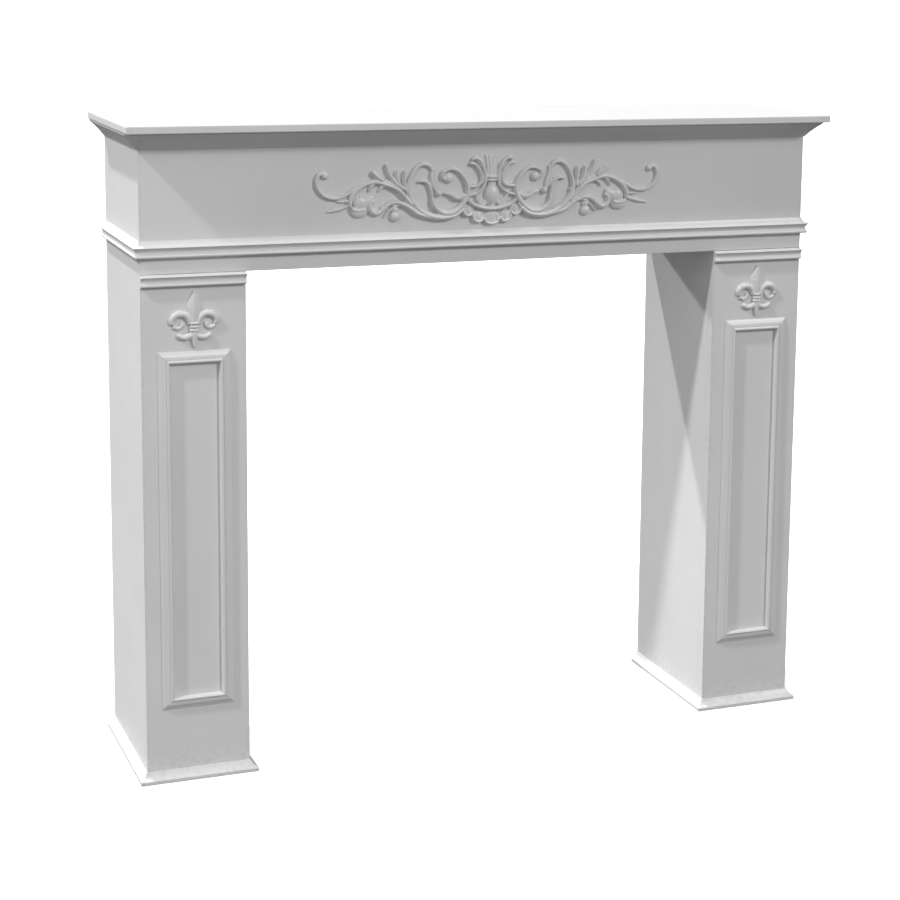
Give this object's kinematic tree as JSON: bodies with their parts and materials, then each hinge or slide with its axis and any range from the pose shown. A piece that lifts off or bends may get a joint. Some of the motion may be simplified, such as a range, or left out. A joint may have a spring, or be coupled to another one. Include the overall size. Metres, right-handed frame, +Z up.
{
  "type": "fireplace mantelpiece",
  "caption": "Painted wooden fireplace surround: moulded shelf over a boxed header with a carved acanthus scroll, on two legs with framed panels and fleurs-de-lis.",
  "frame": {"origin": "on the floor, below the centre of the whole piece's bounding box", "axes": "+X to the right seen from the front, +Y from the front towards the wall, +Z up"},
  "size_m": [1.2, 0.321, 1.05],
  "materials": {
    "painted_board": "satin pale grey-white paint on board",
    "painted_moulding": "satin pale grey-white paint on machined moulding",
    "painted_ornament": "satin pale grey-white paint on carved ornament",
    "painted_shelf": "satin pale grey-white paint on board"
  },
  "bodies": {
    "root": {"shelf": "painted_shelf", "cove_front": "painted_moulding", "cove_left": "painted_moulding", "cove_right": "painted_moulding", "header_front": "painted_board", "header_left": "painted_board", "header_right": "painted_board", "header_bottom": "painted_board", "band_front": "painted_moulding", "band_left": "painted_moulding", "band_right": "painted_moulding", "scroll_applique": "painted_ornament", "leg_left_front": "painted_board", "leg_left_outer": "painted_board", "leg_left_inner": "painted_board", "leg_right_front": "painted_board", "leg_right_outer": "painted_board", "leg_right_inner": "painted_board", "cap_left": "painted_moulding", "cap_right": "painted_moulding", "fleur_left": "painted_ornament", "fleur_right": "painted_ornament", "panel_left_bottom": "painted_moulding", "panel_left_top": "painted_moulding", "panel_left_left": "painted_moulding", "panel_left_right": "painted_moulding", "panel_right_bottom": "painted_moulding", "panel_right_top": "painted_moulding", "panel_right_left": "painted_moulding", "panel_right_right": "painted_moulding", "base_left_front": "painted_moulding", "base_left_outer": "painted_moulding", "base_left_inner": "painted_moulding", "base_right_front": "painted_moulding", "base_right_outer": "painted_moulding", "base_right_inner": "painted_moulding"}
  },
  "joints": []
}
